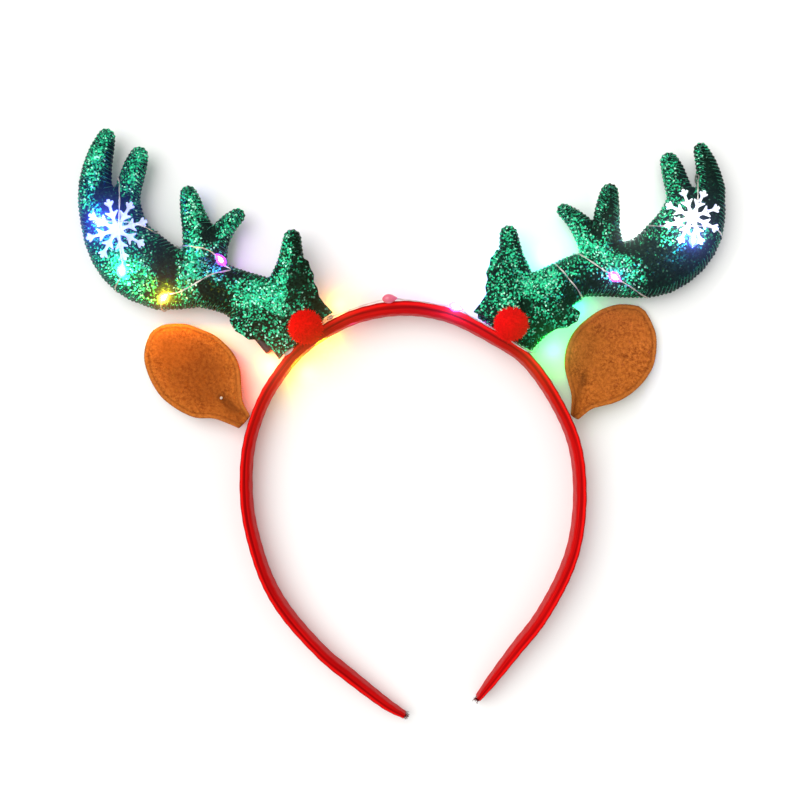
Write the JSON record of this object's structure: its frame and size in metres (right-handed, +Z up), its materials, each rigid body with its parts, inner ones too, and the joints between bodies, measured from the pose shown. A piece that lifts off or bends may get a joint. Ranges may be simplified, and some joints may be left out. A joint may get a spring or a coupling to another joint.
{
  "type": "reindeer antler headband",
  "caption": "Satin-wrapped headband with two stuffed glitter antlers, felt ears, holly leaves, pom-poms, snowflake sequins and a string of drop lights.",
  "frame": {"origin": "on the hoop's lower edge, at the middle of its crown, on the surface that the headband lies on", "axes": "+X towards the right antler as seen from the front, +Y from the crown towards the antler tips, +Z up from the surface, towards the front"},
  "size_m": [0.233, 0.2127, 0.0272],
  "materials": {
    "satin": "satin ribbon",
    "glitter_fabric": "glitter",
    "glitter_leaf": "glitter",
    "felt": "matt felt",
    "yarn": "fuzzy",
    "pearl": "pearlescent",
    "silver_wire": "bright",
    "light_bead": "clear, lit",
    "glue": "clear",
    "case": "moulded"
  },
  "bodies": {
    "root": {"band": "satin", "antler_left": "glitter_fabric", "antler_right": "glitter_fabric", "leaf_left_upper": "glitter_leaf", "leaf_left_lower": "glitter_leaf", "leaf_right_upper": "glitter_leaf", "leaf_right_lower": "glitter_leaf", "pompom_left": "yarn", "pompom_right": "yarn", "ear_left": "felt", "ear_right": "felt", "snowflake_left": "pearl", "snowflake_right": "pearl", "light_left_yellow": "light_bead", "light_left_purple": "light_bead", "light_left_teal": "light_bead", "light_left_blue": "light_bead", "light_crown_clear": "light_bead", "light_crown_purple": "light_bead", "light_right_green": "light_bead", "light_right_pink": "light_bead", "light_right_blue": "light_bead", "wire_left_1": "silver_wire", "wire_left_2": "silver_wire", "wire_left_3": "silver_wire", "wire_left_4": "silver_wire", "wire_right_1": "silver_wire", "wire_right_2": "silver_wire", "wire_right_3": "silver_wire", "wire_right_4": "silver_wire", "wire_right_5": "silver_wire", "cell_case": "case", "glue_left_lower": "glue", "glue_left_upper": "glue"}
  },
  "joints": []
}
